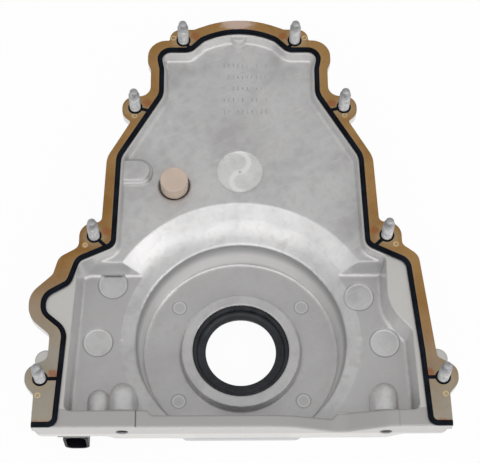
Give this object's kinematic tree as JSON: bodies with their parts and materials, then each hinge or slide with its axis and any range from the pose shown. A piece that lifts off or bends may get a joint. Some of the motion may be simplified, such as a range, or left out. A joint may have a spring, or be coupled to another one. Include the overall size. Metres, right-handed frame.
{
  "type": "engine timing cover",
  "caption": "Cast front cover for an engine's timing drive, with crank seal, moulded gasket, cam sensor, lead connector and flange bolts.",
  "frame": {"origin": "centre of the crank seal's lip, on the crank axis", "axes": "+Z along the crank axis towards the block, +Y up the engine, +X to the right when the block side is looked at"},
  "size_m": [0.29, 0.3135, 0.0853],
  "materials": {
    "casting": "bead-blasted die casting, machined faces bright",
    "gasket_carrier": "matt gold-tan coating, worn and rust-stained",
    "gasket_rubber": "matt moulded rubber",
    "seal_rubber": "smooth moulded rubber",
    "seal_steel": "pressed steel",
    "sensor_tip": "moulded tan plastic",
    "sensor_black": "moulded black plastic",
    "magnet": "sintered magnet",
    "terminals": "tinned brass blades",
    "small_steel": "zinc-plated steel",
    "bolt_steel": "grey phosphate and zinc, dull"
  },
  "bodies": {
    "root": {"cover_casting": "casting", "gasket_carrier": "gasket_carrier", "gasket_bead": "gasket_rubber", "crank_seal_case": "seal_steel", "crank_seal_body": "seal_rubber", "crank_seal_lip": "seal_rubber", "cam_sensor_tip": "sensor_tip", "cam_sensor_chip": "sensor_black", "cam_sensor_magnet": "magnet", "cam_sensor_body": "sensor_black", "cam_sensor_pins": "terminals", "cam_sensor_o_ring": "gasket_rubber", "cam_sensor_sleeve": "small_steel", "cam_sensor_bolt": "small_steel", "connector_bracket": "small_steel", "bracket_bolt": "small_steel", "connector_shell": "sensor_black", "connector_pins": "terminals", "cover_bolt_1": "bolt_steel", "cover_bolt_2": "bolt_steel", "cover_bolt_3": "bolt_steel", "cover_bolt_4": "bolt_steel", "cover_bolt_5": "bolt_steel", "cover_bolt_6": "bolt_steel", "cover_bolt_7": "bolt_steel", "cover_bolt_8": "bolt_steel"}
  },
  "joints": []
}
